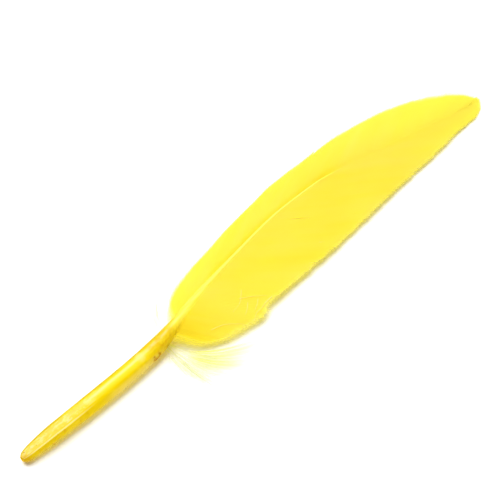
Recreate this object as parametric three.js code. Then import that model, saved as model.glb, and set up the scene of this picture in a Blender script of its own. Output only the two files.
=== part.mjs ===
// A goose quill feather that lies loose on its underside, with its glossy outer side up.
// Millimetres. +X runs from the quill end to the tip, +Y is the narrow leading side, +Z is up.
import * as THREE from 'three';

// The shaft is one grown rod of horn: a round bare quill that thins to a ridge between the vanes.
// It lies on the surface for its first 30 mm, then arches over the middle and comes down at the tip.
// Each row: [along, sideways, height of the underside, width, depth].
const shaftRows = [
  [0, 0, 1.0, 1.5, 1.6],
  [0.8, 0, 0.35, 2.7, 2.9],
  [3, 0, 0, 3.65, 3.8],
  [12, -0.1, 0, 4.75, 4.7],
  [30, 0.1, 0, 4.95, 4.85],
  [38, 0.45, 0.1, 4.85, 4.7],
  [46, 1.15, 0.5, 4.6, 4.3],
  [50, 1.8, 0.85, 3.9, 3.9],
  [55, 2.8, 1.3, 2.9, 3.3],
  [63, 4.5, 1.9, 2.1, 2.8],
  [78, 6.9, 2.7, 1.3, 2.2],
  [100, 9.5, 3.2, 0.95, 1.6],
  [113, 9.8, 2.9, 0.8, 1.3],
  [124, 8.9, 2.4, 0.65, 1.05],
  [144, 5.5, 1.2, 0.5, 0.7],
  [168, 1.3, 0.2, 0.4, 0.45],
];
const shaftSides = 16;
const shaftStep = 3;

// Vanes: flat sheets of hooked barbs. Each row is one barb, from the foot of the vane to the tip:
// [root along the shaft, tip along, tip sideways, height of the tip].
const leadingRows = [
  [52, 55.5, 7.8, 2.2],
  [57, 62.5, 12.6, 1.6],
  [65, 76.5, 15.4, 1.0],
  [76, 92.5, 18.3, 0.6],
  [90, 109.5, 20.4, 0.35],
  [106, 127.5, 20.5, 0.3],
  [122, 143, 18.8, 0.3],
  [138, 156, 15.3, 0.3],
  [151, 164.8, 10.6, 0.35],
  [161, 170, 6.2, 0.35],
  [167.5, 172.1, 2.2, 0.35],
];
const trailingRows = [
  [49, 52.5, -6.8, 1.2],
  [54, 62.5, -10.9, 1.2],
  [60, 72, -11.5, 1.7],
  [63, 75.8, -9.4, 2.2],
  [68, 82.8, -8.8, 2.4],
  [78, 96.7, -8.3, 2.1],
  [92, 114.7, -6.8, 1.8],
  [108, 131.8, -5.3, 1.65],
  [124, 146.5, -4.4, 1.5],
  [140, 157.3, -3.2, 1.15],
  [152, 164.6, -2.4, 0.8],
  [161, 168.9, -1.1, 0.5],
  [167.5, 172, 1.2, 0.35],
];
const vaneThickness = 0.6;
const leadingDroop = 1.7; // over 1, the barb leaves the shaft level and bends down towards its tip
const trailingDroop = 1.4;
const barbSweep = 0.06; // how far a barb bows back to the quill, as a share of its length
const attachHeight = 0.7; // the barbs leave the shaft at this share of its depth

// Down: loose barbs round the foot of each vane. Each row is one line of the tuft:
// [root along, bend along, bend sideways, tip along, tip sideways, height of the tip].
const leadingDownRows = [
  [49.2, 49.4, 5, 50.2, 7, 1.6],
  [50.3, 50.8, 8, 54.5, 11.6, 1.5],
  [51.2, 52.3, 9.8, 59.5, 14.4, 1.3],
];
const trailingDownRows = [
  [46.2, 45.8, -4.5, 45.6, -8.2, 0.8],
  [46.9, 46.2, -9, 46.9, -14.6, 0.6],
  [47.6, 47.2, -12, 51.2, -20.3, 0.55],
  [48.1, 49.2, -12, 59.5, -18.2, 0.55],
  [48.5, 51, -10.4, 67.5, -14.8, 0.7],
];
const downThickness = 1.0;
const downDroop = 1.3;

const gap = 0.3; // clearance between pieces that touch
const linesAcross = 40; // barb lines that shape one vane
const downLines = 14;
const pointsPerLine = 7;

const horn = new THREE.MeshStandardMaterial({ color: 0xf0c820, roughness: 0.28, metalness: 0 });
const barbs = new THREE.MeshStandardMaterial({ color: 0xfbee48, roughness: 0.62, metalness: 0 });
const down = new THREE.MeshStandardMaterial({ color: 0xf6f0a6, roughness: 0.9, metalness: 0 });

// The slope of one column at row k. It is zero where the column turns or stays level, so that a
// curve never overshoots its rows.
function slopeAt(rows, k, column) {
  const rise = (i) => (rows[i + 1][column] - rows[i][column]) / (rows[i + 1][0] - rows[i][0]);
  const before = rise(Math.max(0, k - 1));
  const after = rise(Math.min(rows.length - 2, k));
  return before * after > 0 ? (2 * before * after) / (before + after) : 0;
}

// All columns of a table at one value of its first column, on a smooth cubic through the rows.
function rowAt(rows, first) {
  let k = 0;
  while (k < rows.length - 2 && rows[k + 1][0] <= first) k += 1;
  const span = rows[k + 1][0] - rows[k][0];
  const t = (first - rows[k][0]) / span;
  return rows[k].map((value, column) => {
    const rise = rows[k + 1][column] - value;
    const leave = span * slopeAt(rows, k, column);
    const arrive = span * slopeAt(rows, k + 1, column);
    const bend = leave + arrive - 2 * rise;
    return value + t * (leave + t * (rise - leave - bend + t * bend));
  });
}

// A closed solid through rings of points. Point i of a ring faces point n - 1 - i across it,
// so each end closes with a strip between the two halves of its ring.
function loft(rings) {
  const n = rings[0].length;
  const triangles = [];
  const quad = (a, b, c, d) => triangles.push(a, b, c, a, c, d);
  for (let r = 0; r < rings.length - 1; r += 1) {
    for (let i = 0; i < n; i += 1) {
      const j = (i + 1) % n;
      quad(r * n + i, r * n + j, (r + 1) * n + j, (r + 1) * n + i);
    }
  }
  const lastRing = (rings.length - 1) * n;
  for (let i = 0; i < n / 2 - 1; i += 1) {
    quad(i, n - 1 - i, n - 2 - i, i + 1);
    quad(lastRing + i, lastRing + i + 1, lastRing + n - 2 - i, lastRing + n - 1 - i);
  }
  const points = rings.flat();
  if (signedVolume(points, triangles) < 0) triangles.reverse();
  const geometry = new THREE.BufferGeometry().setFromPoints(points);
  geometry.setIndex(triangles);
  geometry.computeVertexNormals();
  return geometry;
}

function signedVolume(points, triangles) {
  let volume = 0;
  for (let i = 0; i < triangles.length; i += 3) {
    const [a, b, c] = triangles.slice(i, i + 3).map((index) => points[index]);
    volume += a.dot(new THREE.Vector3().crossVectors(b, c)) / 6;
  }
  return volume;
}

// One cross-section of the shaft: an oval with a level facet underneath, for it to rest on.
function shaftRing(along) {
  const [x, side, underside, width, depth] = rowAt(shaftRows, along);
  const stretch = 1 / Math.cos(Math.PI / shaftSides);
  return Array.from({ length: shaftSides }, (_, i) => {
    const angle = (Math.PI * (2 * i + 1)) / shaftSides;
    const y = side + 0.5 * width * Math.sin(angle);
    return new THREE.Vector3(x, y, underside + 0.5 * depth * (1 + stretch * Math.cos(angle)));
  });
}

function shaftSolid() {
  const end = shaftRows[shaftRows.length - 1][0];
  const nose = shaftRows.slice(0, 3).map((row) => row[0]);
  const steps = Math.round((end - nose[2]) / shaftStep);
  const rest = Array.from({ length: steps }, (_, i) => nose[2] + ((i + 1) * (end - nose[2])) / steps);
  return loft([...nose, ...rest].map(shaftRing));
}

// Where a barb leaves the shaft: side is 1 for the leading side and -1 for the trailing side.
function rootPoint(along, side) {
  const [x, sideways, underside, width, depth] = rowAt(shaftRows, along);
  return new THREE.Vector3(x, sideways + side * (width / 2 + gap), underside + attachHeight * depth);
}

// The ring round one barb line: its upper side out to the tip, then its lower side back.
function barbRing(root, bend, tip, droop, thickness) {
  const upper = [];
  for (let i = 0; i < pointsPerLine; i += 1) {
    const f = i / (pointsPerLine - 1);
    const x = (1 - f) ** 2 * root.x + 2 * f * (1 - f) * bend.x + f ** 2 * tip.x;
    const y = (1 - f) ** 2 * root.y + 2 * f * (1 - f) * bend.y + f ** 2 * tip.y;
    const z = tip.z + (root.z - tip.z) * (1 - f ** droop);
    upper.push(new THREE.Vector3(x, y, z + thickness / 2));
  }
  const lower = upper.map((point) => point.clone().setZ(point.z - thickness)).reverse();
  return [...upper, ...lower];
}

// Root positions along the shaft, evenly spread over a table's rows.
function rootsOver(rows, count) {
  const [from, to] = [rows[0][0], rows[rows.length - 1][0]];
  return Array.from({ length: count + 1 }, (_, i) => from + ((to - from) * i) / count);
}

function vaneSolid(rows, side, droop) {
  return loft(rootsOver(rows, linesAcross).map((along) => {
    const [, tipX, tipY, tipZ] = rowAt(rows, along);
    const root = rootPoint(along, side);
    const tip = new THREE.Vector3(tipX, tipY, tipZ);
    const bend = root.clone().lerp(tip, 0.5);
    bend.x -= barbSweep * root.distanceTo(tip);
    return barbRing(root, bend, tip, droop, vaneThickness);
  }));
}

function downSolid(rows, side) {
  return loft(rootsOver(rows, downLines).map((along) => {
    const [, bendX, bendY, tipX, tipY, tipZ] = rowAt(rows, along);
    const bend = new THREE.Vector3(bendX, bendY, 0);
    const tip = new THREE.Vector3(tipX, tipY, tipZ);
    return barbRing(rootPoint(along, side), bend, tip, downDroop, downThickness);
  }));
}

function piece(name, geometry, material) {
  const mesh = new THREE.Mesh(geometry, material);
  mesh.name = name;
  return mesh;
}

const feather = new THREE.Group();
feather.add(
  piece('shaft', shaftSolid(), horn),
  piece('leading_vane', vaneSolid(leadingRows, 1, leadingDroop), barbs),
  piece('trailing_vane', vaneSolid(trailingRows, -1, trailingDroop), barbs),
  piece('leading_down', downSolid(leadingDownRows, 1), down),
  piece('trailing_down', downSolid(trailingDownRows, -1), down),
);

// The origin is the middle of the feather's outline, on the surface that it lies on.
const outline = new THREE.Box3().setFromObject(feather);
const middle = outline.getCenter(new THREE.Vector3());
feather.position.set(-middle.x, -middle.y, -outline.min.z);

const part = new THREE.Group();
part.add(feather);
export default part;
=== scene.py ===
import math

import bpy
import numpy as np
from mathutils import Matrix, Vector

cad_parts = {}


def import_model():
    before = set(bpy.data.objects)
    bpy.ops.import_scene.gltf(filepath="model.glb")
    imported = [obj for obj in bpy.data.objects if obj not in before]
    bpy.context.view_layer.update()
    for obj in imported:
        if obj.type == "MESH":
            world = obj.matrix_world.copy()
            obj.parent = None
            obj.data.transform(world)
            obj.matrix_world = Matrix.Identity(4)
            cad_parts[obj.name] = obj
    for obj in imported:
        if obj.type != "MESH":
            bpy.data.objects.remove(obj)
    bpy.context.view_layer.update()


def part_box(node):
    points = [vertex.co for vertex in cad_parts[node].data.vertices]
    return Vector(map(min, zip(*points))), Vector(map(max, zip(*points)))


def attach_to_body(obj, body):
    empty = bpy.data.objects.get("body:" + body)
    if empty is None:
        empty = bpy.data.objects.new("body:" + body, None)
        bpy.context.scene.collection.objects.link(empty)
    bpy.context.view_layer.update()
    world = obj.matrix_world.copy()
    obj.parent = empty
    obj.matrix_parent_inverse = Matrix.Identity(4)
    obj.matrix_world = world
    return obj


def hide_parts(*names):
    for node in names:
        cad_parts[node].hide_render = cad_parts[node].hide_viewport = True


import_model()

# Lengths are millimetres along the feather, from its quill end, until a mesh is made.
# +X runs to the tip, +Y is the narrow leading side and +Z is up, as in the frame.


def smoothStep(low, high, value):
    t = np.clip((np.asarray(value, float) - low) / (high - low), 0, 1)
    return t * t * (3 - 2 * t)


# how much each of some thin layers covers, for them to cover this much together
def thin(together, layers):
    return 1 - (1 - together) ** (1 / layers)


def unit(vectors):
    return vectors / np.linalg.norm(vectors, axis=-1, keepdims=True)


# all columns of a table at each value of its first column, on cubics that never overshoot a row
def rowsAt(rows, first):
    rows = np.asarray(rows, float)
    along = rows[:, 0]
    rise = np.diff(rows, axis=0) / np.diff(along)[:, None]
    before = np.vstack([rise[:1], rise])
    after = np.vstack([rise, rise[-1:]])
    steady = before * after > 0
    slope = np.where(steady, 2 * before * after / np.where(steady, before + after, 1), 0)
    k = np.clip(np.searchsorted(along, first, "right") - 1, 0, len(along) - 2)
    span = (along[k + 1] - along[k])[:, None]
    t = (first - along[k])[:, None] / span
    rise = rows[k + 1] - rows[k]
    leave = span * slope[k]
    arrive = span * slope[k + 1]
    bend = leave + arrive - 2 * rise
    return rows[k] + t * (leave + t * (rise - leave - bend + t * bend))


# a smooth uneven surface from about -1 to 1, made of a few waves in different directions
def unevenness(a, b, size, seed):
    rng = np.random.default_rng(seed)
    waves, highest = 6, 3.2          # the waves seldom add up to more than this
    total = 0
    for _ in range(waves):
        angle, phase = rng.uniform(0, 2 * math.pi, 2)
        length = size * rng.uniform(0.6, 1.6)
        total = total + np.sin(2 * math.pi * (a * math.cos(angle) + b * math.sin(angle)) / length + phase)
    return total / highest


# the middle lines of barbs: a bow in plan, and a droop from the root's height to the tip's
def barbPaths(root, bend, tip, droop, shares):
    f = shares[..., None]
    paths = (1 - f) ** 2 * root[:, None] + 2 * f * (1 - f) * bend[:, None] + f ** 2 * tip[:, None]
    paths[..., 2] = tip[:, None, 2] + (root[:, None, 2] - tip[:, None, 2]) * (1 - shares ** droop)
    return paths


# forward, sideways and up directions at each point of each path
def directions(paths):
    forward = unit(np.gradient(paths, axis=1))
    sideways = unit(np.cross((0, 0, 1.0), forward))
    return forward, sideways, np.cross(forward, sideways)


# faces of that many separate closed rods, each with its rings of points one after another
def rodFaces(rods, rings, around):
    start = np.arange(rods)[:, None, None] * rings * around
    ring = np.arange(rings - 1)[None, :, None] * around
    i = np.arange(around)[None, None, :]
    a = start + ring + i
    b = start + ring + (i + 1) % around
    walls = np.stack([a, b, b + around, a + around], -1).reshape(-1, 4)
    firstEnd = start[:, 0] + np.arange(around)[::-1]
    lastEnd = start[:, 0] + (rings - 1) * around + np.arange(around)
    return walls.tolist() + firstEnd.tolist() + lastEnd.tolist()


# three-cornered rings round each point of each path
def threeCornered(paths, radii):
    _, sideways, up = directions(paths)
    angle = 2 * math.pi * np.arange(3)[:, None] / 3
    ring = np.cos(angle) * sideways[:, :, None] + np.sin(angle) * up[:, :, None]
    return paths[:, :, None] + radii[..., None, None] * ring


# thin rods along paths, with a radius at each of their points
def rods(paths, radii):
    return threeCornered(paths, radii).reshape(-1, 3), rodFaces(paths.shape[0], paths.shape[1], 3)


spikePoints = 7                      # two rings of three, and the end


# thin spikes along three-point lines
def spikes(lines, radius):
    taper = np.array([1, 0.75, 0])
    rings = threeCornered(lines, np.broadcast_to(radius * taper, lines.shape[:2]))
    points = np.concatenate([rings[:, :2].reshape(-1, 6, 3), lines[:, 2:]], 1)
    start = spikePoints * np.arange(len(lines))[:, None]
    faces = []
    for i, j in ((0, 1), (1, 2), (2, 0)):
        faces += (start + [i, j, j + 3, i + 3]).tolist() + (start + [i + 3, j + 3, 6]).tolist()
    return points.reshape(-1, 3), faces + (start + [2, 1, 0]).tolist()


barbule = {
    "last": 0.995,           # none grows past this share of its barb
    "lean": (0.45, 1.3),     # how far it leans to the barb's tip, for each 1 that it stands off sideways
    "lift": (0.03, 0.28),    # how far it rises: the middle and the spread
    "size": (0.45, 1.15),    # its length, as a share of the length that is asked for
    "sag": (-0.1, 0.2),      # how far its end hangs down, as a share of its own length
    "lowest": 0.04,          # it stays this far over the surface
}


# unhooked barbules that stand off both sides of barbs, from a share of their length to their tips:
# the points and faces, and for each point how far out its barb it grows and which barb that is
def barbules(rng, paths, shares, each, start, length, radius=0.012):
    last = paths.shape[1] - 1
    owner = np.repeat(np.arange(len(paths)), each)
    count = len(owner)
    upright = np.array([0, 0, 1.0])
    where = rng.uniform(start, barbule["last"], count) * last
    low = np.minimum(where.astype(int), last - 1)
    part = (where - low)[:, None]
    forward, sideways, _ = directions(paths)
    base = paths[owner, low] * (1 - part) + paths[owner, low + 1] * part
    ahead, across = forward[owner, low], sideways[owner, low]
    turn = rng.choice([-1, 1], count)[:, None]
    lean = rng.uniform(*barbule["lean"], count)[:, None]
    lift = rng.normal(*barbule["lift"], count)[:, None] * upright
    aim = unit(ahead * lean + across * turn + lift)
    size = length * rng.uniform(*barbule["size"], count)[:, None]
    sag = rng.uniform(*barbule["sag"], count)[:, None] * size * upright
    lines = np.stack([base, base + 0.5 * size * aim, base + size * unit(aim + 0.5 * ahead) - sag], 1)
    lines[..., 2] = np.maximum(lines[..., 2], barbule["lowest"])
    done = shares[owner, low] * (1 - part[:, 0]) + shares[owner, low + 1] * part[:, 0]
    return *spikes(lines, radius), np.repeat(done, spikePoints), np.repeat(owner, spikePoints)


# the points and faces of several parts as those of one
def joined(parts):
    faces = []
    count = 0
    for points, partFaces in parts:
        faces += [[index + count for index in face] for face in partFaces]
        count += len(points)
    return np.vstack([points for points, _ in parts]), faces


# one piece from points in millimetres, with a value at each point for its finish,
# and with sharp edges where its faces meet at over that many degrees
def makePiece(name, points, faces, finish, node, values, sharp):
    mesh = bpy.data.meshes.new(name)
    mesh.from_pydata(((points + frameShift) / 1000).tolist(), [], faces)
    mesh.validate()
    for key, numbers in values.items():
        attribute = mesh.attributes.new(key, "FLOAT", "POINT")
        attribute.data.foreach_set("value", np.ascontiguousarray(numbers, np.float32).ravel())
    mesh.shade_smooth()
    mesh.set_sharp_from_angle(angle=math.radians(sharp))
    mesh.materials.append(finish)
    piece = bpy.data.objects.new(name, mesh)
    bpy.context.collection.objects.link(piece)
    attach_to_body(piece, "root")
    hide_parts(node)
    print(name, len(mesh.polygons), "faces")


# Shader maths: one output socket. + - * between wires and numbers add Math nodes.
class Wire:
    def __init__(self, finish, socket):
        self.finish = finish
        self.socket = socket

    def maths(self, operation, *values):
        return self.finish.node("ShaderNodeMath", {"operation": operation}, dict(enumerate(values)))

    def __add__(self, other):
        return self.maths("ADD", self, other)

    def __sub__(self, other):
        return self.maths("SUBTRACT", self, other)

    def __rsub__(self, other):
        return self.maths("SUBTRACT", other, self)

    def __mul__(self, other):
        return self.maths("MULTIPLY", self, other)

    def sine(self):
        return self.maths("SINE", self)

    def atMost(self, other):
        return self.maths("MINIMUM", self, other)

    __radd__ = __add__
    __rmul__ = __mul__


class Finish:
    def __init__(self, name):
        self.material = bpy.data.materials.new(name)
        self.material.use_nodes = True
        self.tree = self.material.node_tree
        self.tree.nodes.clear()

    # any node: its type, its settings, the values or wires of its sockets, and which output
    def node(self, kind, settings=None, sockets=None, output=0):
        made = self.tree.nodes.new(kind)
        for key, value in (settings or {}).items():
            if key == "stops":
                self.setStops(made.color_ramp, value)
            else:
                setattr(made, key, value)
        for key, value in (sockets or {}).items():
            if isinstance(value, Wire):
                self.tree.links.new(value.socket, made.inputs[key])
            else:
                made.inputs[key].default_value = value
        return Wire(self, made.outputs[output]) if len(made.outputs) else None

    def setStops(self, ramp, stops):
        while len(ramp.elements) < len(stops):
            ramp.elements.new(0.5)
        for element, (place, colour) in zip(ramp.elements, stops):
            element.position = place
            element.color = colour

    def vectorMaths(self, operation, sockets, output=0):
        return self.node("ShaderNodeVectorMath", {"operation": operation}, sockets, output)

    # millimetres along, across and up the feather, from its quill end
    def featherPlace(self):
        spot = self.node("ShaderNodeTexCoord", output="Object")
        inMm = self.vectorMaths("SCALE", {0: spot, "Scale": 1000.0})
        return self.vectorMaths("SUBTRACT", {0: inMm, 1: tuple(frameShift)})

    def part(self, vector, axis):
        return self.node("ShaderNodeSeparateXYZ", None, {0: vector}, axis)

    def vector(self, x, y):
        return self.node("ShaderNodeCombineXYZ", None, {0: x, 1: y})

    def distance(self, vector, place):
        return self.vectorMaths("DISTANCE", {0: vector, 1: place}, 1)

    # noise around 0.5, drawn out along each axis on which stretch is under 1
    def noise(self, vector, scale, detail=3.0, rough=0.5, stretch=None):
        if stretch:
            vector = self.vectorMaths("MULTIPLY", {0: vector, 1: stretch})
        sockets = {"Vector": vector, "Scale": scale, "Detail": detail, "Roughness": rough}
        return self.node("ShaderNodeTexNoise", None, sockets)

    # 0 below low and 1 above high, with a soft change between them
    def step(self, value, low, high):
        settings = {"interpolation_type": "SMOOTHSTEP"}
        sockets = {"Value": value, "From Min": low, "From Max": high}
        return self.node("ShaderNodeMapRange", settings, sockets)

    # 1 between low and high, and 0 outside, with soft edges
    def band(self, value, low, high, soft):
        return self.step(value, low - soft, low) * (1 - self.step(value, high, high + soft))

    # a ramp through stops of [place, which of the dye's colours]
    def ramp(self, value, dye, stops):
        stops = [(place, dye[colour]) for place, colour in stops]
        return self.node("ShaderNodeValToRGB", {"stops": stops}, {0: value})

    def blend(self, factor, first, second):
        return self.node("ShaderNodeMix", {"data_type": "RGBA"}, {0: factor, 6: first, 7: second}, 2)

    def attribute(self, name):
        return self.node("ShaderNodeAttribute", {"attribute_name": name}, output="Fac")

    def bump(self, height, strength, distance):
        sockets = {"Height": height, "Strength": strength, "Distance": distance}
        return self.node("ShaderNodeBump", None, sockets)

    # a surface that lets a share of the light through, tinted
    def close(self, sockets, tint=None, share=0):
        surface = self.node("ShaderNodeBsdfPrincipled", None, sockets)
        if share != 0:
            through = self.node("ShaderNodeBsdfTranslucent", None, {"Color": tint})
            surface = self.node("ShaderNodeMixShader", None, {0: share, 1: surface, 2: through})
        self.node("ShaderNodeOutputMaterial", None, {"Surface": surface})
        return self.material


# a screen colour, 0 to 255, as the linear colour that a shader takes
def screen(red, green, blue):
    def linear(value):
        value = value / 255
        return value / 12.92 if value <= 0.04045 else ((value + 0.055) / 1.055) ** 2.4
    return (linear(red), linear(green), linear(blue), 1)


horn = {
    # pale is the painted highlight along the top, at the squeezed edge and before the vanes, and also the
    # dried skin's colour
    "pale": screen(255, 254, 186),
    "yellow": screen(254, 244, 74),
    "warm": screen(250, 234, 50),
    "golden": screen(240, 214, 4),
    # painted shade on the underside
    "deep": screen(224, 192, 0),
    # painted shade where the low side meets its shadow on the floor
    "olive": screen(218, 202, 100),
    "amber": screen(220, 150, 4),
    "brown": screen(140, 76, 4),
    "scar": screen(196, 134, 0),
    # painted shade: a darker line along the leading outline
    "edge": screen(176, 160, 30),
    # painted light: the pale haze under the thin-walled stretch, where it meets its shadow
    "haze": screen(226, 214, 150),
    # a duller tone that tones down the painted highlight where the vanes begin
    "dull": screen(228, 192, 34),
    "skin": screen(246, 220, 100),
    "ridge": screen(255, 255, 112),
    "through": screen(255, 242, 6),
    # places round the quill are shares of a turn, from +Y over the top to -Y and underneath
    # the stops paint light and shade on the dyed quill: a painted highlight over the top, painted shade
    # underneath, a painted dark line along the leading outline, and painted shadow where the low side meets
    # the floor
    "stops": [
        [0, "golden"], [0.1, "edge"], [0.165, "edge"], [0.205, "warm"], [0.258, "pale"], [0.295, "yellow"],
        [0.33, "warm"], [0.37, "golden"], [0.41, "deep"], [0.49, "deep"], [0.56, "olive"], [0.62, "golden"],
        [0.8, "golden"],
    ],
    "ridgeStops": [[0.25, "yellow"], [0.5, "ridge"]],
    "nose": (-0.4, -0.9, 1.4),       # the middle of the amber end
    "noseRadii": (1.2, 3.0),         # full inside the first, gone past the second
    "paleHighlight": (39.3, 0.5, 4.7),      # a painted highlight, pale, just before the vanes
    "paleHighlightRadii": (0.4, 1.9),
    "waver": 0.06,                   # how far the fibres shift the colours round the quill
    # each kind of noise: its scale, detail, roughness and stretch
    "grain": {
        "fibre": (1.5, 4.0, 0.5, (0.06, 1.0, 1.0)),
        "flakes": (1.0, 5.0, 0.6, (0.4, 1.0, 1.0)),
        "blots": (1.0, 2.0, 0.5, (0.12, 0.5, 0.5)),
        "grime": (1.1, 4.0, 0.6, (0.45, 1.0, 1.0)),
        "stain": (0.8, 3.0),
        "speck": (2.6, 1.0),
    },
    # a mark begins at the first value of its noise, and is full at the second
    "patch": {
        "blots": (0.5, 0.68),
        "bare": (0.4, 0.56),
        "skin": (0.46, 0.58),
        "stain": (0.54, 0.66),
        "speck": (0.72, 0.78),
        "dull": (0.4, 0.6),
        "grimeBelow": (0.48, 0.62),
        "grimeAbove": (0.44, 0.56),
    },
    # round the quill it changes between two places, or lies between them with a soft edge
    "around": {
        "creaseHighlight": (0.366, 0.382, 0.008),
        "bare": (0.18, 0.35, 0.02),
        "skin": (0.2, 0.33, 0.02),
        "stain": (0.36, 0.4),
        "haze": (0.37, 0.48),
        "grimeBelow": (0.3, 0.36),
        "grimeAbove": (0.16, 0.2),
        "lowSide": (0.52, 0.58, 0.03),
        "under": (0.6, 0.64),
        "farSide": (0.14, 0.24),
    },
    # and so it does along the feather
    "along": {
        "creaseHighlight": (14, 24),
        "end": (15, 28),
        "bare": (2, 14),
        "stain": (16, 22),
        "speck": (9, 13),
        "haze": (32, 42, 9),
        "dull": (44, 50, 4),
        "grime": (44, 51, 4),
        "ridge": (48, 60),
        "farSide": (20, 40, 6),
    },
    # how much of what is under it a full mark hides
    "strength": {
        "blots": 0.4,
        "creaseHighlight": 0.9,
        "bare": 0.8,
        "skin": 0.9,
        "stain": 0.2,
        "stainBelow": 0.3,           # more of it below the crease
        "speck": 0.8,
        "nose": 0.5,
        "paleHighlight": 0.6,
        "haze": 0.75,
        "dull": 0.8,
        "dullBetween": 0.4,          # between its patches, as a share of this
        "scar": 1.5,                 # over 1, it is full some way out from its middle
        "grimeBelow": 0.4,
        "grimeAbove": 0.45,
        "ridge": 0.9,
    },
    # how much of the light goes through: the top of the quill, its underside and the ridge
    "clear": {"top": 0.54, "under": 0.9, "ridge": 0.4},
    "lowSideLess": 0.25,             # and how much less or more it is there
    "farSideMore": 0.12,
    "markedLess": 0.7,               # the share of it that a full mark holds back
    "roughness": 0.36,
    "roughnessSpread": 0.25,
    "bump": (0.3, 0.00008),          # strength, and distance in metres
    "gloss": 0.1,
}


def hornFinish():
    finish = Finish("dyed_horn")
    patch, around, strength, clear = (horn[key] for key in ("patch", "around", "strength", "clear"))
    spot = finish.featherPlace()
    place = finish.part(spot, 0)
    turn = finish.attribute("turn")
    grain = {name: finish.noise(spot, *numbers) for name, numbers in horn["grain"].items()}

    def between(name):
        return finish.band(place, *horn["along"][name])

    def before(name):
        return 1 - finish.step(place, *horn["along"][name])

    def patches(name, of):
        return finish.step(grain[of], *patch[name])

    # painted light and shade round the quill, from the stops above
    colour = finish.ramp(turn + (grain["fibre"] - 0.5) * horn["waver"], horn, horn["stops"])
    colour = finish.blend(patches("blots", "blots") * strength["blots"], colour, horn["yellow"])

    # the squeezed end: a painted highlight along its edge, dried skin in patches above it, stains, and an
    # amber nose
    creaseHighlight = finish.band(turn, *around["creaseHighlight"]) * before("creaseHighlight")
    colour = finish.blend(creaseHighlight * strength["creaseHighlight"], colour, horn["pale"])
    bare = 1 - patches("bare", "flakes") * finish.step(place, *horn["along"]["bare"])
    bare = bare * finish.band(turn, *around["bare"]) * before("end")
    colour = finish.blend(bare * strength["bare"], colour, horn["skin"])
    skin = patches("skin", "flakes") * finish.band(turn, *around["skin"]) * before("end")
    colour = finish.blend(skin * strength["skin"], colour, horn["pale"])
    stain = patches("stain", "stain") * before("stain")
    stain = stain * (strength["stain"] + finish.step(turn, *around["stain"]) * strength["stainBelow"])
    colour = finish.blend(stain, colour, horn["amber"])
    speck = patches("speck", "speck") * before("speck") * strength["speck"]
    colour = finish.blend(speck, colour, horn["brown"])
    nose = 1 - finish.step(finish.distance(spot, horn["nose"]), *horn["noseRadii"])
    nose = nose * strength["nose"]
    colour = finish.blend(nose, colour, horn["amber"])

    # the thin-walled stretch before the vanes has a painted highlight, a pale blotch, and painted light
    # underneath, a pale haze where light comes through the wall into its shadow
    # a painted highlight: a pale blotch just before the vanes
    paleHighlight = 1 - finish.step(finish.distance(spot, horn["paleHighlight"]), *horn["paleHighlightRadii"])
    colour = finish.blend(paleHighlight * strength["paleHighlight"], colour, horn["pale"])
    haze = between("haze") * finish.step(turn, *around["haze"])
    colour = finish.blend(haze * strength["haze"], colour, horn["haze"])

    # where the vanes begin: a duller colour in mottled patches, which tones down the painted highlight
    # there, amber grime and the healed scar
    even = strength["dullBetween"]
    dull = between("dull") * (even + patches("dull", "grime") * (1 - even))
    colour = finish.blend(dull * strength["dull"], colour, horn["dull"])
    below = patches("grimeBelow", "grime") * finish.step(turn, *around["grimeBelow"])
    above = patches("grimeAbove", "grime") * (1 - finish.step(turn, *around["grimeAbove"]))
    grime = between("grime") * (below * strength["grimeBelow"] + above * strength["grimeAbove"])
    colour = finish.blend(grime, colour, horn["amber"])
    scar = (finish.attribute("scar") * strength["scar"]).atMost(1.0)
    colour = finish.blend(scar, colour, horn["scar"])

    ridge = finish.step(place, *horn["along"]["ridge"])
    ridgeColour = finish.ramp(grain["fibre"], horn, horn["ridgeStops"])
    colour = finish.blend(ridge * strength["ridge"], colour, ridgeColour)

    # dyed horn lets light through, and less of it where it is marked
    share = clear["top"] - finish.band(turn, *around["lowSide"]) * horn["lowSideLess"]
    share = share + finish.step(turn, *around["under"]) * (clear["under"] - clear["top"])
    farSide = between("farSide") * (1 - finish.step(turn, *around["farSide"]))
    share = share + farSide * horn["farSideMore"] + ridge * (clear["ridge"] - clear["top"])
    marked = (grime + stain + nose + speck + scar).atMost(1.0)
    share = share * (1 - marked * horn["markedLess"])
    return finish.close({
        "Base Color": colour,
        "Roughness": horn["roughness"] + (grain["flakes"] - 0.5) * horn["roughnessSpread"],
        "Normal": finish.bump(grain["fibre"] + grain["flakes"] * 0.5, *horn["bump"]),
        "Specular IOR Level": horn["gloss"],
    }, horn["through"], share)


vaneDye = {
    "pale": screen(255, 247, 146),
    "yellow": screen(255, 244, 112),
    "golden": screen(254, 240, 74),
    "deep": screen(220, 198, 4),
    # painted light: the even pale tone towards the feather's tip
    "far": screen(255, 255, 116),
    "hair": screen(255, 252, 176),
    "through": screen(255, 249, 108),
    "stops": [[0, "pale"], [0.38, "yellow"], [0.68, "golden"], [1, "deep"]],
    "shareThrough": 0.74,
    # noise over the vane, as for the horn: along the shaft, and out along the barbs
    "patches": (0.16, 2.0, 0.5, (1.0, 0.35, 1.0)),
    "streaks": (0.9, 4.0, 0.6, (2.2, 0.2, 1.0)),
    "patchiness": 0.7,
    "streakiness": 0.16,
    "tipLightRoots": (116, 150),  # painted light: the colour turns even and pale between these roots
    "tipLightShare": 0.6,
    "hairTint": -2,          # hairs carry this tint, which tells them from barbs
    "hairBelow": (-1.2, -0.8),
    "hairClosed": 0.8,       # and let less light through
    "barbulesPerMm": 10,
    "roughness": 0.56,
    "roughnessSpread": 0.2,
    "bump": (0.2, 0.00002),
    "gloss": 0.16,
}


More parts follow.
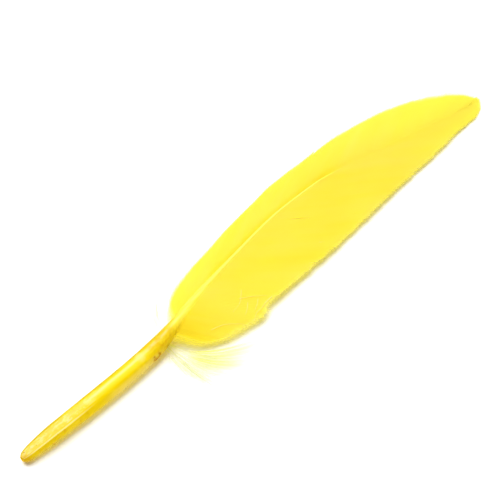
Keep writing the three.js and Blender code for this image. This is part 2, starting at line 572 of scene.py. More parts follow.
def vaneFinish():
    finish = Finish("dyed_barbs")
    root = finish.attribute("root")
    run = finish.attribute("run")
    place = finish.vector(root, run)
    patches = finish.noise(place, *vaneDye["patches"])
    streaks = finish.noise(place, *vaneDye["streaks"])
    tint = finish.attribute("tint")
    shade = tint + (patches - 0.5) * vaneDye["patchiness"] + (streaks - 0.5) * vaneDye["streakiness"]
    colour = finish.ramp(shade, vaneDye, vaneDye["stops"])
    # painted light towards the feather's tip, which gets less light
    far = finish.step(root, *vaneDye["tipLightRoots"]) * vaneDye["tipLightShare"]
    colour = finish.blend(far, colour, vaneDye["far"])
    hair = 1 - finish.step(tint, *vaneDye["hairBelow"])
    colour = finish.blend(hair, colour, vaneDye["hair"])
    waves = (run * 2 * math.pi * vaneDye["barbulesPerMm"]).sine()
    cover = finish.attribute("cover")
    return finish.close({
        "Alpha": cover,
        "Base Color": colour,
        "Roughness": vaneDye["roughness"] + (streaks - 0.5) * vaneDye["roughnessSpread"],
        "Normal": finish.bump(waves, *vaneDye["bump"]),
        "Specular IOR Level": vaneDye["gloss"],
    }, vaneDye["through"], cover * (1 - hair * vaneDye["hairClosed"]) * vaneDye["shareThrough"])


downDye = {
    "white": screen(244, 246, 206),
    "pale": screen(232, 238, 134),
    # the deepest tone, also painted shade where the haze lies under the vane's rim
    "yellow": screen(236, 232, 80),
    "through": screen(238, 242, 140),
    "stops": [[0, "white"], [0.45, "pale"], [1, "yellow"]],
    "shareThrough": 0.35,
    "grainScale": 0.4,
    "patchiness": 0.3,
    "roughness": 0.85,
    "gloss": 0.1,
}


def downFinish():
    finish = Finish("dyed_down")
    grain = finish.noise(finish.featherPlace(), downDye["grainScale"])
    shade = finish.attribute("tint") + (grain - 0.5) * downDye["patchiness"]
    cover = finish.attribute("cover")
    return finish.close({
        "Alpha": cover,
        "Base Color": finish.ramp(shade, downDye, downDye["stops"]),
        "Roughness": downDye["roughness"],
        "Specular IOR Level": downDye["gloss"],
    }, downDye["through"], cover * downDye["shareThrough"])


shaft = {
    # [along, sideways, height of the underside, width, depth], from the quill end to the tip
    "rows": [
        [0, 0, 1.0, 1.5, 1.6],
        [0.8, 0, 0.35, 2.7, 2.9],
        [3, 0, 0, 3.65, 3.8],
        [12, -0.1, 0, 4.75, 4.7],
        [30, 0.1, 0, 4.95, 4.85],
        [38, 0.45, 0.1, 4.85, 4.7],
        [46, 1.15, 0.5, 4.6, 4.3],
        [50, 1.8, 0.85, 3.9, 3.9],
        [55, 2.8, 1.3, 2.9, 3.3],
        [63, 4.5, 1.9, 2.1, 2.8],
        [78, 6.9, 2.7, 1.3, 2.2],
        [100, 9.5, 3.2, 0.95, 1.6],
        [113, 9.8, 2.9, 0.8, 1.3],
        [124, 8.9, 2.4, 0.65, 1.05],
        [144, 5.5, 1.2, 0.5, 0.7],
        [168, 1.3, 0.2, 0.4, 0.45],
    ],
    "pointsAround": 96,
    "noseLength": 3,         # the rounded end, with closer rings
    "noseRings": 16,
    "ringStep": 0.4,         # from there on
    "ridgeStart": 58,        # the rings of the ridge are wider apart
    "ridgeStep": 0.8,
    "creaseAngle": 136,      # degrees round from +Y over the top: the edge of the squeezed quill end
    "creaseHeight": 0.14,    # share of the radius
    "creaseWidth": 0.13,     # radians
    # the flatter faces beside it: [radians from it, half width, depth as a share of its height]
    "creaseFlats": [[-0.7, 0.5, 0.8], [0.75, 0.45, 0.7]],
    "creaseFades": 13,
    "creaseEnd": 21,         # the quill is round from here on
    "grooveStart": 50,       # the groove under the ridge
    "grooveDepth": 0.38,
    "grooveWidth": 0.3,
    "fuller": 0.25,          # how much wider the ridge is than its rows, with the skin over it
    "undersideFlare": 0.3,   # and how much wider again under the barbs
    "dentDepth": 0.03,
    "dentLength": 7,
    "dentRadius": 3,
    "dentSeed": 5,
    "mouthDepth": 1.5,       # the little hole in the quill's end
    # its rings from the bottom out: [size as a share of the end's, share of the depth]
    "mouthRings": [[0.04, 1], [0.3, 0.9], [0.42, 0.45], [0.5, 0.12]],
    # where the skin of the quill was nicked and healed: [along, degrees round, height, radius]
    "scars": [
        [44.2, 160, 0.06, 0.28],
        [44.4, 173, 0.08, 0.32],
        [44.3, 184, 0.08, 0.36],
        [43.7, 191, 0.1, 0.4],
        [42.9, 189, 0.12, 0.55],
        [42.3, 175, 0.1, 0.38],
        [42.4, 157, 0.06, 0.24],
    ],
    "sharpAngle": 28,        # edges over this many degrees stay sharp
}


# the stations of the shaft's rings: close together at the rounded end
def shaftStations():
    end = shaft["rows"][-1][0]
    nose = shaft["noseLength"] * (1 - np.cos(np.linspace(0, math.pi / 2, shaft["noseRings"])))
    quill = np.arange(shaft["noseLength"] + 0.3, shaft["ridgeStart"], shaft["ringStep"])
    ridge = np.arange(shaft["ridgeStart"], end, shaft["ridgeStep"])
    return np.concatenate([nose, quill, ridge, [end]])


# the radius round the squeezed end, as a share of the round one: an edge with flatter faces beside it
def squeezed(x, degrees):
    turned = np.radians((degrees[None] - shaft["creaseAngle"] + 180) % 360 - 180)
    fades = 1 - smoothStep(shaft["creaseFades"], shaft["creaseEnd"], x)
    height = shaft["creaseHeight"] * smoothStep(0.6, 3, x) * fades
    edge = np.exp(-np.abs(turned) / shaft["creaseWidth"])
    flats = 0
    for place, wide, deep in shaft["creaseFlats"]:
        flats = flats + deep * np.exp(-((turned - place) / wide) ** 2)
    return 1 + height[:, None] * (edge - flats)


def makeShaft():
    x = shaftStations()
    rows = rowsAt(shaft["rows"], x)
    degrees = 360 * np.arange(shaft["pointsAround"]) / shaft["pointsAround"]
    angle = np.radians(degrees)
    out, up = np.cos(angle)[None], np.sin(angle)[None]
    side, under, width, depth = (rows[:, column, None] for column in (1, 2, 3, 4))
    radius = squeezed(x, degrees)

    # scars stand out a little
    scar = 0
    for place, degreesRound, rise, size in shaft["scars"]:
        arc = np.radians(degrees[None] - degreesRound) * depth / 2
        bulge = np.exp(-((x[:, None] - place) ** 2 + arc ** 2) / size ** 2)
        scar = scar + bulge
        radius = radius + rise * bulge / (depth / 2)

    # between the vanes the underside is wider and grooved
    ridge = smoothStep(shaft["grooveStart"] - 2, shaft["grooveStart"] + 12, x)[:, None]
    flare = 1 + shaft["fuller"] * ridge + shaft["undersideFlare"] * ridge * np.clip(-up, 0, 1)
    groove = shaft["grooveDepth"] * ridge * np.exp(-(out / shaft["grooveWidth"]) ** 2) * (up < 0)
    y = side + 0.5 * width * out * radius * flare
    z = under + 0.5 * depth * (1 + up * radius + groove)
    around = shaft["dentRadius"] * angle[None]
    size, seed = shaft["dentLength"], shaft["dentSeed"]
    dents = unevenness(x[:, None] + 0 * out, around + 0 * x[:, None], size, seed)
    onTop = smoothStep(0.5, 3, x)[:, None] * (up > -0.6)     # the underside stays level
    z = np.maximum(z + shaft["dentDepth"] * dents * onTop, 0)
    points = np.stack([x[:, None] + 0 * out, y, z], -1)

    # the hole in the end goes in from the first ring
    middle = points[0].mean(0)
    inward = []
    for share, depthShare in shaft["mouthRings"]:
        ring = middle + share * (points[0] - middle)
        ring[:, 0] += shaft["mouthDepth"] * depthShare
        inward.append(ring)
    points = np.concatenate([np.array(inward), points])
    faces = rodFaces(1, len(points), shaft["pointsAround"])
    values = {
        "turn": np.broadcast_to((degrees + 90) % 360 / 360 - 0.25, points.shape[:2]),
        "scar": np.vstack([np.zeros((len(inward), len(degrees))), scar]),
    }
    points = points.reshape(-1, 3)
    sharp = shaft["sharpAngle"]
    makePiece("quill_and_ridge", points, faces, hornFinish(), "shaft", values, sharp)


barb = {
    "sweep": 0.06,           # how far a barb bows back to the quill, as a share of its length
    "rootInside": 0.45,      # it starts inside the shaft, at this share of its width from its middle
    "attachFrom": 50,        # between these roots it changes from the first share of "attach" to the other
    "attachTo": 58,
    "hideFrom": 108,         # past here the barbs close over the shaft
    "hidden": 128,
    "hiddenAttach": 1.08,
    "rings": 17,
    "ribWidth": 0.075,       # half width of a barb's own rib, without its hooked barbules
    "ribTop": 0.045,
    "ribKeel": 0.2,
    "overlap": 1.3,          # each web reaches this far into the next barb's room
    "frayedWeb": 0.12,       # the share of it that is left at a frayed end
    "looseWeb": 0.2,         # loose barbs have wider webs, but narrower ones where they are unhooked
    "undoneWeb": 0.35,
    "ripple": 0.18,          # how far the vane waves up and down
    "rippleLength": 16,
    "crumpleLength": 5,
    "splitSpread": 1.6,      # how far along the shaft a split pushes barbs aside
    "looseDrift": 0.35,      # how much the loose barbs stray, and how much all of them do
    "drift": 0.05,
    "lowest": 0.12,          # barbs stay this far over the surface
    "tipFrom": 156,          # the barbs of the feather's tip are rooted from here on
    "tipEnd": 168,
    "rimWidth": 4.5,         # how far in the rim's painted light begins
    "middleFrom": (58, 80),  # between which roots the painted shade along the shaft begins and ends
    "middleUntil": (116, 128),
    "shaftSideWidth": 2.6,   # and how far out it and the painted shade of the first roots reach
    "rootShadeWidth": 0.8,
    "footLength": 16,        # the painted shades by the quill fade over this many mm of roots
    "loosePaler": 0.35,      # how much paler the loose barbs are at their tips
    "farTint": 0.24,         # the tint towards the feather's tip
    "farFrom": 100,
    "farEnd": 140,
    "coverLayers": 6,        # about so many webs lie over each other at a soft rim
    "ragged": 0.005,         # how unevenly the barbs end: one by one, and in waves along the rim
    "scalloped": 0.006,
    "scallopLength": 5,
    "tipBeyond": 0.4,        # how far they run past the rows at the feather's tip
    "fluffCover": 0.2,
    "fluffPaler": 0.1,
    "fluffShade": 0.35,      # painted shade, deeper by the quill and the shaft, and painted light, paler at the rim
    "hairRings": 14,         # single hairs that lie over the vane
    "hairRadius": 0.06,
    "hairBarbules": 12,
    "hairBarbuleLength": 0.4,
    "sharpAngle": 35,        # edges over this many degrees stay sharp
}

leadingVane = {
    # some of the barbs: [root along the shaft, tip along, tip sideways, height of the tip]
    "rows": [
        [52, 55.5, 7.8, 2.2],
        [57, 62.5, 12.6, 1.6],
        [65, 76.5, 15.4, 1.0],
        [76, 92.5, 18.3, 0.6],
        [90, 109.5, 20.4, 0.35],
        [106, 127.5, 20.5, 0.3],
        [122, 143, 18.8, 0.3],
        [138, 156, 15.3, 0.3],
        [151, 164.8, 10.6, 0.35],
        [161, 170, 6.2, 0.35],
        [167.5, 172.1, 2.2, 0.35],
    ],
    "side": 1,               # 1 is the leading side, -1 the trailing one
    "attach": [0.7, 0.76],   # barbs leave the shaft at this share of its depth, by the quill and further on
    "droop": 1.7,            # over 1, a barb leaves the shaft level and bends down to its tip
    "barbs": 300,
    "tint": 0.34,            # over 0.4 is golden, under it is pale
    "rim": -0.25,            # painted light: the rim is paler, where the vane turns to the light
    "shadingByShaft": 0.42,       # painted shade in the hollow along the shaft, or painted light below 0
    "rootShade": 0,          # painted shade where the first barbs leave it, under the shaft's edge
    "footShade": 0.1,        # painted shade over all of the barbs by the quill
    "startsBefore": 1.2,     # thin soft barbs before the first row
    "reach": 1.0,            # how far the barbs run out to the rows' tips
    "beyond": 0.95,          # and this much further, where they thin out
    "softRim": 2.2,          # how far in from the rim they begin to thin out
    "softStart": 4.5,        # and over how many mm of roots they thicken
    "frayFrom": 0.96,        # the web narrows from this share of a barb on
    "looseUntil": 64,        # barbs rooted nearer the quill than this have lost their hooks
    "looseFrom": 0.75,       # from this share of their length
    "looseShortening": 0.015,    # how unevenly they end
    "sag": 0.4,              # how far loose barbs sag at their tips, or lift where it is below 0
    "crumple": 0.05,         # and how unevenly they lie
    "looseSoftness": 3.0,    # how far in from their tips they thin out, on top of softRim
    # [root, from this share of the barb, to this one, opening]
    "splits": [[103.5, 0.88, 1.2, 0.2], [133, 0.92, 1.2, 0.1], [70, 0.92, 1.2, 0.08]],
    # barbules on each barb, from this share of it on: along the whole rim, and on the loose barbs
    "fringe": {"each": 8, "from": 0.93, "length": 0.7},
    "looseFluff": {"each": 4, "from": 0.85, "length": 1.8},
    "strays": [],
    "closing": 0,
    "seed": 11,
}

trailingVane = {
    "rows": [
        [49, 52.5, -6.8, 1.2],
        [54, 62.5, -10.9, 1.2],
        [60, 72, -11.5, 1.7],
        [63, 75.8, -9.4, 2.2],
        [68, 82.8, -8.8, 2.4],
        [78, 96.7, -8.3, 2.1],
        [92, 114.7, -6.8, 1.8],
        [108, 131.8, -5.3, 1.65],
        [124, 146.5, -4.4, 1.5],
        [140, 157.3, -3.2, 1.15],
        [152, 164.7, -2.9, 0.8],
        [161, 168.9, -1.5, 0.5],
        [167.5, 172, 1.0, 0.35],
    ],
    "side": -1,
    "attach": [0.62, 0.9],
    "droop": 1.4,
    "barbs": 310,
    "tint": 0.4,
    # below 0, rim and the shading by the shaft paint light; rootShade and footShade paint shade
    "rim": -0.2,
    "shadingByShaft": -0.1,
    "rootShade": 0.25,
    "footShade": 0.34,
    "startsBefore": 0.6,
    "reach": 1.03,
    "beyond": 0,
    "softRim": 0.4,
    "softStart": 3.0,
    "frayFrom": 0.985,
    "looseUntil": 70,
    "looseFrom": 0.78,
    "looseShortening": 0.012,
    "sag": -0.5,
    "crumple": 0.12,
    "looseSoftness": 3.2,
    "splits": [
        [94.5, 0.16, 0.46, 0.14],
        [83.5, 0.72, 0.9, 0.11],
        [113, 0.92, 1.2, 0.2],
        [76, 0.86, 1.2, 0.1],
        [137, 0.9, 1.2, 0.1],
    ],
    "fringe": {"each": 4, "from": 0.96, "length": 0.4},
    "looseFluff": {"each": 4, "from": 0.85, "length": 2.2},
    # single hairs that lie over the vane, as points [along, sideways, height above the vane]
    "strays": [
        [[72.6, -1.9, 0.15], [71.2, -3.2, 0.2], [69.1, -4.6, 0.2], [66.2, -5.3, 0.15]],
        [[77.1, -8.4, 0.15], [74.6, -8.6, 0.2], [72.6, -9.1, 0.25], [70.6, -9.3, 0.25], [68.6, -10.4, 0.2]],
        [[70.3, -3.4, 0.15], [73.5, -5.3, 0.2], [76.4, -7.4, 0.15]],
        [[58.5, -5.2, 0.15], [61.5, -6.1, 0.2], [65, -8.5, 0.2], [67.5, -11.2, 0.15]],
        [[73.9, -6.6, 0.1], [72.5, -7.6, 0.15], [70.9, -8.4, 0.1]],
        [[71.2, -5.6, 0.1], [69.6, -6.9, 0.15], [67.9, -7.8, 0.1]],
    ],
    "closing": 6,            # barbs past the end of the shaft, which fill the tip
    "seed": 23,
}

# the frame puts the quill's end and the widest leading barb here
frameShift = np.array([
    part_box("shaft")[0].x * 1000 - shaft["rows"][0][0],
    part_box("leading_vane")[1].y * 1000 - max(row[2] for row in leadingVane["rows"]),
    0,
])


# where barbs leave the shaft, a little inside it
def barbRoots(along, side, attach):
    rows = rowsAt(shaft["rows"], along)
    hidden = smoothStep(barb["hideFrom"], barb["hidden"], along)
    y = rows[:, 1] + side * barb["rootInside"] * rows[:, 3] * (1 - hidden)
    share = attach[0] + (attach[1] - attach[0]) * smoothStep(barb["attachFrom"], barb["attachTo"], along)
    share = share + (barb["hiddenAttach"] - share) * hidden
    return np.stack([along, y, rows[:, 2] + share * rows[:, 4]], -1)


# where the barbs are rooted along the shaft, and their first and last points
def vaneEnds(vane):
    first, last = vane["rows"][0][0] - vane["startsBefore"], vane["rows"][-1][0]
    along = np.linspace(first, last, vane["barbs"])
    root = barbRoots(along, vane["side"], vane["attach"])
    tip = rowsAt(vane["rows"], along)[:, 1:4]
    if vane["closing"]:
        share = np.linspace(0, 1, vane["closing"] + 1)[1:, None]
        farEnd = np.array(leadingVane["rows"][-1][1:])
        tip = np.vstack([tip, tip[-1] + share * (farEnd - tip[-1])])
        root = np.vstack([root, np.repeat(root[-1:], vane["closing"], 0)])
        along = np.append(along, [last] * vane["closing"])
    return along, root, tip


# parts some barbs, and lets the loose ones stray, lift and crumple
def ruffled(rng, paths, sideways, vane, along, shares, loose):
    for splitRoot, start, end, opening in vane["splits"]:
        away = along - splitRoot
        push = np.sign(away) * np.exp(-np.abs(away) / barb["splitSpread"]) * opening
        rise = smoothStep(start, start + 0.1, shares) * (1 - smoothStep(end - 0.1, end, shares))
        paths = paths - vane["side"] * (push[:, None] * rise)[..., None] * sideways
    stray = rng.normal(0, 1, (len(along), 2))
    drift = (barb["looseDrift"] * loose + barb["drift"]) * shares ** 2
    paths = paths + (0.16 * stray[:, :1] * drift)[..., None] * sideways
    paths[..., 2] += 0.1 * np.abs(stray[:, 1:]) * drift
    bumps = unevenness(paths[..., 0], paths[..., 1], barb["crumpleLength"], vane["seed"] + 2)
    paths[..., 2] += vane["crumple"] * (loose * smoothStep(0.45, 1, shares)) * bumps
    paths[..., 2] = np.maximum(paths[..., 2], barb["lowest"])
    return paths


# one barb's section: a rib with a keel under it, and a thin web to each side
def barbSection(paths, shares, web, side):
    slim = 1 - 0.65 * np.clip(shares, 0, 1)
    ribWidth = np.minimum(barb["ribWidth"] * slim, 0.6 * web)
    top = barb["ribTop"] * slim
    keel = barb["ribKeel"] * slim * np.clip((paths[..., 2] - 0.1) / 0.4, 0, 1)
    level = 0 * web
    section = [
        (web, 0.04 + level),
        (ribWidth, 0.025 + level),
        (level, top),
        (-ribWidth, 0.015 + level),
        (-web, -0.02 + level),
        (-ribWidth, -0.035 - 0.4 * keel),
        (level, -0.035 - keel),
        (ribWidth, -0.015 - 0.4 * keel),
    ]
    if side > 0:
        section = [(-u, v) for u, v in section[::-1]]
    return section


# painted shade, deeper by the quill and along the shaft, and painted light, paler towards the rim
def vaneTint(rng, vane, along, shares, run, toRim, loose, foot):
    rim = smoothStep(0, 1, 1 - toRim / barb["rimWidth"])
    middle = smoothStep(*barb["middleFrom"], along) * (1 - smoothStep(*barb["middleUntil"], along))
    shadingByShaft = vane["shadingByShaft"] * middle[:, None]
    far = smoothStep(barb["farFrom"], barb["farEnd"], along)[:, None]
    # painted shade over the barbs by the quill
    tint = vane["tint"] + vane["footShade"] * foot * (1 - 0.6 * shares)
    tint = tint - barb["loosePaler"] * loose * shares ** 3
    # painted shade or light along the shaft, and painted light at the rim
    tint = tint + shadingByShaft * np.exp(-(run / barb["shaftSideWidth"]) ** 2) + vane["rim"] * rim
    tint = tint + rng.normal(0, 0.03, (len(along), 1))
    tint = tint + (barb["farTint"] - vane["tint"]) * far
    # painted shade where the first barbs leave the shaft
    return tint + vane["rootShade"] * foot * np.exp(-(run / barb["rootShadeWidth"]) ** 2)


# single hairs that lie over the barbs, with barbules of their own
def strayHairs(rng, strays, paths):
    rings = barb["hairRings"]
    share = np.linspace(0, 1, rings)[None]
    parts = []
    for places in strays:
        rows = np.column_stack([np.arange(len(places)), places])
        hair = rowsAt(rows, np.linspace(0, len(places) - 1, rings))[None, :, 1:]
        away = np.linalg.norm(paths[:, :, None, :2] - hair[0, None, None, :, :2], axis=-1)
        nearest = away.reshape(-1, rings).argmin(0)
        hair[0, :, 2] += paths[..., 2].ravel()[nearest]
        parts.append(rods(hair, barb["hairRadius"] * (1 - 0.7 * share)))
        fluff = barbules(rng, hair, share, barb["hairBarbules"], 0, barb["hairBarbuleLength"])
        parts.append(fluff[:2])
    return parts


def makeVane(name, vane, node):
    rng = np.random.default_rng(vane["seed"])
    along, root, tip = vaneEnds(vane)
    first, count = along[0], len(along)
    length = np.linalg.norm(tip - root, axis=1)[:, None]
    bend = (root + tip) / 2
    bend[:, :1] -= barb["sweep"] * length

    loose = 1 - smoothStep(first, vane["looseUntil"], along)
    tip[:, 2] -= vane["sag"] * loose
    atTip = smoothStep(barb["tipFrom"], barb["tipEnd"], along)
    scallops = barb["scalloped"] * unevenness(along, 0, barb["scallopLength"], vane["seed"])
    reach = vane["reach"] + rng.normal(0, barb["ragged"], count) + scallops
    beyond = vane["beyond"] + (barb["tipBeyond"] - vane["beyond"]) * atTip
    reach = reach - np.abs(rng.normal(0, vane["looseShortening"], count)) * loose + beyond / length[:, 0]
    shares = (np.linspace(0, 1, barb["rings"]) ** 0.9)[None] * reach[:, None]
    paths = barbPaths(root, bend, tip, vane["droop"], shares)
    ripples = unevenness(paths[..., 0], paths[..., 1], barb["rippleLength"], vane["seed"] + 1)
    paths[..., 2] += barb["ripple"] * ripples * shares

    loose, atTip = loose[:, None], atTip[:, None]
    _, sideways, up = directions(paths)
    room = np.abs((np.gradient(paths, axis=0) * sideways).sum(-1))
    fray = smoothStep(0, 1, (reach[:, None] - shares) / (1 - vane["frayFrom"]))
    undone = loose ** 0.7 * smoothStep(vane["looseFrom"], 1, shares)
    web = 0.5 * room * barb["overlap"] * (barb["frayedWeb"] + (1 - barb["frayedWeb"]) * fray)
    web = web * (1 + barb["looseWeb"] * loose) * (1 - barb["undoneWeb"] * undone)
    paths = ruffled(rng, paths, sideways, vane, along, shares, loose)
    section = barbSection(paths, shares, web, vane["side"])
    points = np.stack([paths + u[..., None] * sideways + v[..., None] * up for u, v in section], 2)
    parts = [(points.reshape(-1, 3), rodFaces(count, barb["rings"], len(section)))]

    run = length * shares
    toRim = length * reach[:, None] - run
    foot = 1 - smoothStep(first, first + barb["footLength"], along)[:, None]
    soft = vane["softRim"] * (1 - atTip) + atTip + vane["looseSoftness"] * loose ** 0.7
    startCover = smoothStep(first - 0.2, first + vane["softStart"], along)[:, None]
    byRing = {
        "tint": vaneTint(rng, vane, along, shares, run, toRim, loose, foot),
        "run": run,
        "root": along[:, None] + 0 * run,
        "cover": thin(smoothStep(0, 1, toRim / soft) * startCover, barb["coverLayers"]),
    }
    marks = [{key: np.repeat(value, len(section)) for key, value in byRing.items()}]

    # barbules along the rim, and on the loose barbs by the quill
    shade = barb["fluffShade"]
    for fluff, amount in ((vane["fringe"], 1 + 0 * loose), (vane["looseFluff"], loose ** 0.5)):
        each = (fluff["each"] * amount[:, 0]).astype(int)
        points, faces, done, owner = barbules(rng, paths, shares, each, fluff["from"], fluff["length"])
        parts.append((points, faces))
        marks.append({
            # painted shade by the quill, and painted light out towards the rim
            "tint": vane["tint"] - barb["fluffPaler"] + shade * foot[owner, 0] * (1 - done) - shade * done,
            "run": done * length[owner, 0],
            "root": along[owner],
            "cover": barb["fluffCover"] + 0 * done,
        })
    for points, faces in strayHairs(rng, vane["strays"], paths):
        parts.append((points, faces))
        flat = {"tint": vaneDye["hairTint"], "run": 0, "root": 0, "cover": 1}
        marks.append({key: np.full(len(points), value) for key, value in flat.items()})

    points, faces = joined(parts)
    values = {key: np.concatenate([mark[key] for mark in marks]) for key in byRing}
    makePiece(name, points, faces, vaneMaterial, node, values, barb["sharpAngle"])


downBarb = {
    "rings": 18,
    "attach": 0.6,           # they leave the shaft at this share of its depth
    "droop": 1.3,            # over 1, they leave it level and bend down to their tips
    "radius": 0.024,
    "thinning": 0.016,       # how much of the radius is gone at the end of the longest
    "tipSpread": 1.4,        # how much wider their tips are spread than their bends
    "curl": 0.45,            # how far they swing from side to side at their tips, and how fast
    "beats": (5, 9),
    "lowest": 0.1,           # they stay this far over the surface
    "barbulesFrom": 0.36,    # share of their length
    "barbuleRadius": 0.008,
    "hazeRings": 14,
    "hazeAttach": 0.3,
    "hazeHeight": 0.02,      # half the thickness of a strip of haze
    "hazeFull": 0.2,         # it is full this far past its start, and fades from hazeFades on
    "hazeFades": 0.45,
    "hazeThickest": 0.97,
    "hazeLayers": 2.4,       # about so many faces of haze lie over each other
    "sharpAngle": 150,       # only the folds at the thin edges of the haze stay sharp
}

leadingDown = {
    # [root along, bend along, bend sideways, tip along, tip sideways, height of the tip]
    "rows": [
        [49.2, 49.4, 5, 50.2, 7, 1.6],
        [50.3, 50.8, 8, 54.5, 11.6, 1.5],
        [51.2, 52.3, 9.8, 59.5, 14.4, 1.3],
    ],
    "side": 1,
    "firstRow": 0.6,         # the first barb grows this far on from the first row to the next
    "barbs": 8,
    "spread": 0.35,          # how far they stray from the rows, in mm
    "shortest": 0.5,         # share of the full length
    "barbulesEach": 8,
    "barbuleLength": 1.6,
    # the fan of the finest fluff: how many strips it has, the shares of their way out at which
    # they start and end, how much their middles cover, and the share of that between them
    "haze": {"strips": 7, "start": 0.3, "reach": 1.1, "cover": 0.45, "between": 0.5},
    "seed": 37,
}

trailingDown = {
    "rows": [
        [46.2, 45.8, -4.5, 45.6, -8.2, 0.8],
        [46.9, 46.2, -9, 46.9, -14.6, 0.6],
        [47.6, 47.2, -12, 51.2, -20.3, 0.55],
        [48.1, 49.2, -12, 59.5, -18.2, 0.55],
        [48.5, 51, -10.4, 67.5, -14.8, 0.7],
    ],
    "side": -1,
    "firstRow": 0,
    "barbs": 32,
    "spread": 1.3,
    "shortest": 0.5,
    "barbulesEach": 18,
    "barbuleLength": 2.6,
    "haze": {"strips": 20, "start": 0.15, "reach": 1.16, "cover": 0.95, "between": 0.6},
    "seed": 41,
}


# the lines of a tuft at some of its rows, with the places where they are rooted
def downLines(down, row):
    places = [values[0] for values in down["rows"]]
    along = np.interp(row, range(len(places)), places)
    return along, rowsAt(down["rows"], along)


# loose barbs that curl, with the share of its full length at each of their points
def downPaths(rng, down):
    count = down["barbs"]
    lastRow = len(down["rows"]) - 1
    row = down["firstRow"] + (lastRow - down["firstRow"]) * np.linspace(0, 1, count) ** 0.75
    row = np.clip(row + rng.uniform(-0.1, 0.1, count), 0, lastRow)
    along, table = downLines(down, row)
    root = barbRoots(along, down["side"], (downBarb["attach"], downBarb["attach"]))
    root[:, 2] -= rng.uniform(0, 1.0, count)
    apart = down["spread"] * rng.normal(0, 1, (count, 3)) * (1, 1, 0.35)
    bend = np.stack([table[:, 1], table[:, 2], 0 * along], -1) + apart
    tip = table[:, 3:6] + downBarb["tipSpread"] * apart
    reach = down["shortest"] + (1 - down["shortest"]) * rng.uniform(0, 1, count) ** 1.3
    shares = np.linspace(0, 1, downBarb["rings"])[None] * reach[:, None]
    paths = barbPaths(root, bend, tip, downBarb["droop"], shares)
    wave = rng.uniform(0, 2 * math.pi, (count, 2))
    beat = rng.uniform(*downBarb["beats"], (count, 2))
    curl = downBarb["curl"] * shares ** 1.3
    _, sideways, _ = directions(paths)
    paths = paths + (curl * np.sin(shares * beat[:, :1] + wave[:, :1]))[..., None] * sideways
    paths[..., 2] += 0.5 * curl * np.sin(shares * beat[:, 1:] + wave[:, 1:])
    paths[..., 2] = np.maximum(paths[..., 2], downBarb["lowest"])
    return paths, shares


# the finest barbules are a fan of thin strips side by side, which fades out all round:
# its points and faces, and the tint and cover of each point
def hazeFan(rng, down):
    haze, rings = down["haze"], downBarb["hazeRings"]
    lastRow = len(down["rows"]) - 1
    row = np.linspace(down["firstRow"], lastRow, haze["strips"])
    along, table = downLines(down, row)
    root = barbRoots(along, down["side"], (downBarb["hazeAttach"], downBarb["hazeAttach"]))
    bend = np.stack([table[:, 1], table[:, 2], 0 * along], -1)
    out = np.broadcast_to(np.linspace(haze["start"], 1, rings), (haze["strips"], rings))
    paths = barbPaths(root, bend, table[:, 3:6], downBarb["droop"], out * haze["reach"])
    _, sideways, up = directions(paths)
    room = np.abs((np.gradient(paths, axis=0) * sideways).sum(-1))
    height = downBarb["hazeHeight"]
    section = [(0.5 * room, 0), (0 * room, height), (-0.5 * room, 0), (0 * room, -height)]
    strips = np.stack([paths + u[..., None] * sideways + v * up for u, v in section], 2)

    # streaky by the quill, and denser and more even by the vane
    byVane = (row[:, None] / lastRow) ** 3
    clumps = np.maximum(rng.uniform(0, 1, (haze["strips"], 1)) ** 2, 0.4 * byVane)
    dense = (0.15 + 0.85 * clumps) * (0.7 + byVane)
    fade = smoothStep(haze["start"], haze["start"] + downBarb["hazeFull"], out)
    fade = fade * (1 - smoothStep(downBarb["hazeFades"], 1, out))
    middle = np.minimum(haze["cover"] * dense * fade, downBarb["hazeThickest"])
    acrossStrip = np.array([haze["between"], 1, haze["between"], 1])
    cover = thin(middle[..., None] * acrossStrip, downBarb["hazeLayers"]).ravel()
    # yellower by the root and paler outwards, and deeper by the vane: painted shade under the vane's rim
    tint = np.repeat(0.95 - 0.9 * out + 0.5 * byVane, len(section))
    return strips.reshape(-1, 3), rodFaces(haze["strips"], rings, len(section)), tint, cover


def makeDown(name, down, node):
    rng = np.random.default_rng(down["seed"])
    paths, shares = downPaths(rng, down)
    barbs = rods(paths, downBarb["radius"] - downBarb["thinning"] * shares)
    start, length, radius = downBarb["barbulesFrom"], down["barbuleLength"], downBarb["barbuleRadius"]
    points, faces, done, _ = barbules(rng, paths, shares, down["barbulesEach"], start, length, radius)
    *fan, fanTint, fanCover = hazeFan(rng, down)
    values = {
        "tint": np.concatenate([0.8 - 0.8 * np.repeat(shares, 3), 0.6 - 0.7 * done, fanTint]),
        "cover": np.concatenate([np.ones(len(barbs[0]) + len(done)), fanCover]),
    }
    points, faces = joined([barbs, (points, faces), fan])
    makePiece(name, points, faces, downMaterial, node, values, downBarb["sharpAngle"])


studio = {
    "lookAt": (0.0005, 0.0082, 0),   # metres
    "azimuth": -46.2,
    "elevation": 48,
    "distance": 0.5,
    "lens": 137.9,
    "floorSize": 3.0,
    "lampDirection": (0.05, 0.36, 0.93),
    "lampStrength": 4.0,
    "lampWidth": 60,                 # degrees: a wide soft lamp
    "roomLight": 0.33,
    "floorGrain": 0.05,
    # the white board's tones: [place, which one]
    "dark": screen(249, 249, 248),
    "light": screen(252, 252, 251),
    "stops": [[0.3, "dark"], [0.7, "light"]],
}


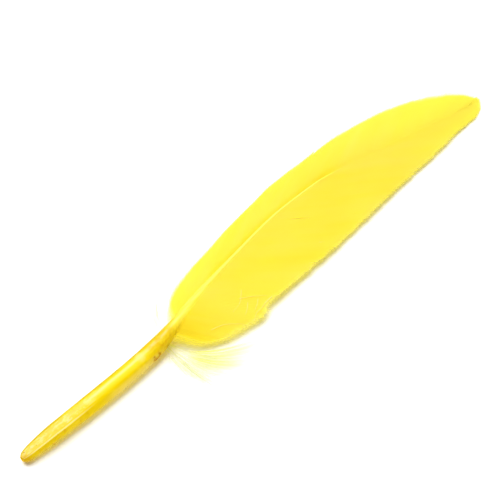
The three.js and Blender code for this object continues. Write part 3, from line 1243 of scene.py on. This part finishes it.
def floorFinish():
    finish = Finish("white_board")
    grain = finish.noise(finish.featherPlace(), studio["floorGrain"])
    return finish.close({"Base Color": finish.ramp(grain, studio, studio["stops"]), "Roughness": 0.8})


def makeStudio():
    camera = bpy.data.objects.new("camera", bpy.data.cameras.new("camera"))
    camera.data.lens = studio["lens"]
    turn, rise = math.radians(studio["azimuth"]), math.radians(studio["elevation"])
    back = Vector((math.sin(turn) * math.cos(rise), -math.cos(turn) * math.cos(rise), math.sin(rise)))
    camera.location = Vector(studio["lookAt"]) + studio["distance"] * back
    camera.rotation_mode = "QUATERNION"
    camera.rotation_quaternion = back.to_track_quat("Z", "Y")
    bpy.context.collection.objects.link(camera)
    bpy.context.scene.camera = camera

    half = studio["floorSize"] / 2
    mesh = bpy.data.meshes.new("floor")
    corners = [(-half, -half, 0), (half, -half, 0), (half, half, 0), (-half, half, 0)]
    mesh.from_pydata(corners, [], [(0, 1, 2, 3)])
    mesh.materials.append(floorFinish())
    floor = bpy.data.objects.new("floor", mesh)
    bpy.context.collection.objects.link(floor)

    light = bpy.data.lights.new("softLamp", "SUN")
    light.energy = studio["lampStrength"]
    light.angle = math.radians(studio["lampWidth"])
    lamp = bpy.data.objects.new("softLamp", light)
    lamp.rotation_mode = "QUATERNION"
    lamp.rotation_quaternion = Vector(studio["lampDirection"]).to_track_quat("Z", "Y")
    bpy.context.collection.objects.link(lamp)

    world = bpy.data.worlds.new("room")
    world.use_nodes = True
    sky = world.node_tree.nodes["Background"]
    sky.inputs["Color"].default_value = (1, 1, 1, 1)
    sky.inputs["Strength"].default_value = studio["roomLight"]
    bpy.context.scene.world = world
    bpy.context.scene.view_settings.view_transform = "Standard"


print("studio")
makeStudio()
print("finishes")
vaneMaterial = vaneFinish()
downMaterial = downFinish()
print("feather")
makeShaft()
makeVane("leading_barbs", leadingVane, "leading_vane")
makeVane("trailing_barbs", trailingVane, "trailing_vane")
makeDown("leading_fluff", leadingDown, "leading_down")
makeDown("trailing_fluff", trailingDown, "trailing_down")
